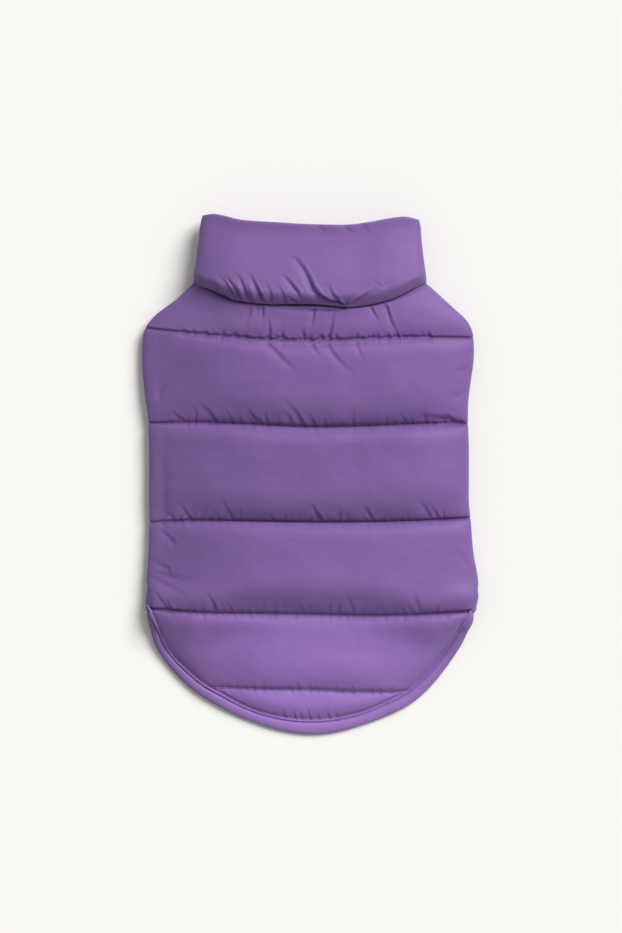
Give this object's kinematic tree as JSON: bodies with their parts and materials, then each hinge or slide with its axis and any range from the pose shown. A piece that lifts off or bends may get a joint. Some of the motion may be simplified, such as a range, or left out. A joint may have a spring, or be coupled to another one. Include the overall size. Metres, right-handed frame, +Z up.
{
  "type": "padded dog winter coat",
  "caption": "Padded dog coat lying flat: quilted back panel turned under at the sides, belly panel between, stand collar, bound hem and bound leg holes.",
  "frame": {"origin": "under the middle of the coat's box, on the surface that it lies on", "axes": "+Y from the tail to the neck, +Z up out of the surface, +X to the coat's right as seen from above with the neck away from the viewer"},
  "size_m": [0.194, 0.3, 0.0268],
  "materials": {
    "shell_fabric": "padded plain-woven nylon, soft satin",
    "binding_fabric": "narrow woven nylon binding, soft satin"
  },
  "bodies": {
    "root": {"back_panel": "shell_fabric", "belly_panel": "shell_fabric", "collar": "shell_fabric", "hem_binding_back": "binding_fabric", "hem_binding_belly": "binding_fabric", "leg_binding_left": "binding_fabric", "leg_binding_right": "binding_fabric"}
  },
  "joints": []
}
